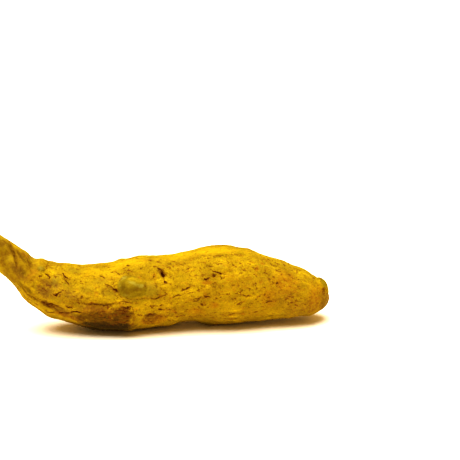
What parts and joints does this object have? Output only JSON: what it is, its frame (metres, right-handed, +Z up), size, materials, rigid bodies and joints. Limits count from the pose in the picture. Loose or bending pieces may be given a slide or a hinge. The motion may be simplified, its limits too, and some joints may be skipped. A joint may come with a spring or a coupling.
{
  "type": "turmeric root",
  "caption": "Cured turmeric finger: a plump, lumpy rhizome lying on its flattened underside, with a thin upturned neck at one end and a rounded bud tip at the other.",
  "frame": {"origin": "on the surface that the finger rests on, below the middle of its box", "axes": "+X along the finger from the broken neck to the bud tip, +Z up"},
  "size_m": [0.0686, 0.0152, 0.0213],
  "materials": {
    "skin": "dull, dusty mustard-yellow skin with fine brown cracks"
  },
  "bodies": {
    "root": {"turmeric_finger": "skin"}
  },
  "joints": []
}
